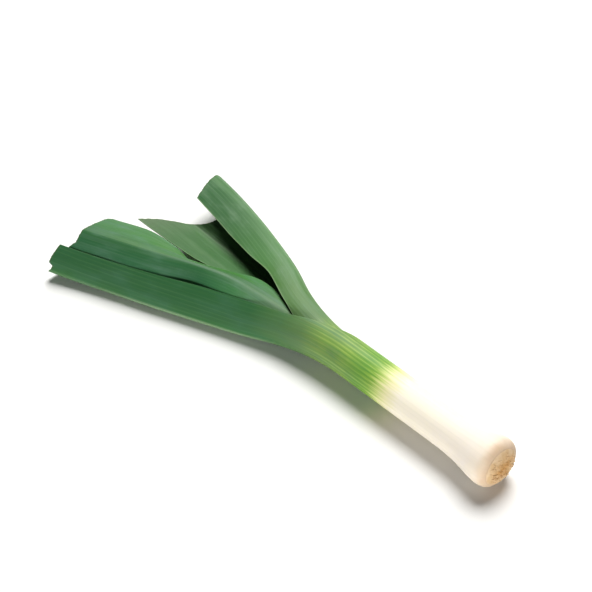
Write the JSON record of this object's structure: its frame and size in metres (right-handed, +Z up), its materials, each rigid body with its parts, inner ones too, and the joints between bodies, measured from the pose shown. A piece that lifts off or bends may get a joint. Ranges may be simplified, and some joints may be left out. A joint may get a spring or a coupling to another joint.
{
  "type": "leek",
  "caption": "Trimmed leek lying on its side: a white shank that swells at the root plate, opening into fanned green keeled leaves cut short.",
  "frame": {"origin": "on the surface the leek lies on, under the middle of its bounding box", "axes": "+X along the plant's axis towards the root plate, +Z up"},
  "size_m": [0.3774, 0.1566, 0.0384],
  "materials": {
    "outer_leaf": "satin, white at the root end through yellow-green to dark green, with fine veins along it",
    "rear_leaf": "satin, pale grey-green with fine veins along it",
    "ridge_leaf": "satin, blue-green with a waxy bloom and fine veins along it",
    "inner_leaf": "satin, mid green with fine veins along it",
    "root_plate": "rough and dry, pale tan with the cut ends of roots"
  },
  "bodies": {
    "root": {"outer_leaf": "outer_leaf", "rear_leaf": "rear_leaf", "ridge_leaf": "ridge_leaf", "inner_leaf": "inner_leaf", "root_plate": "root_plate"}
  },
  "joints": []
}
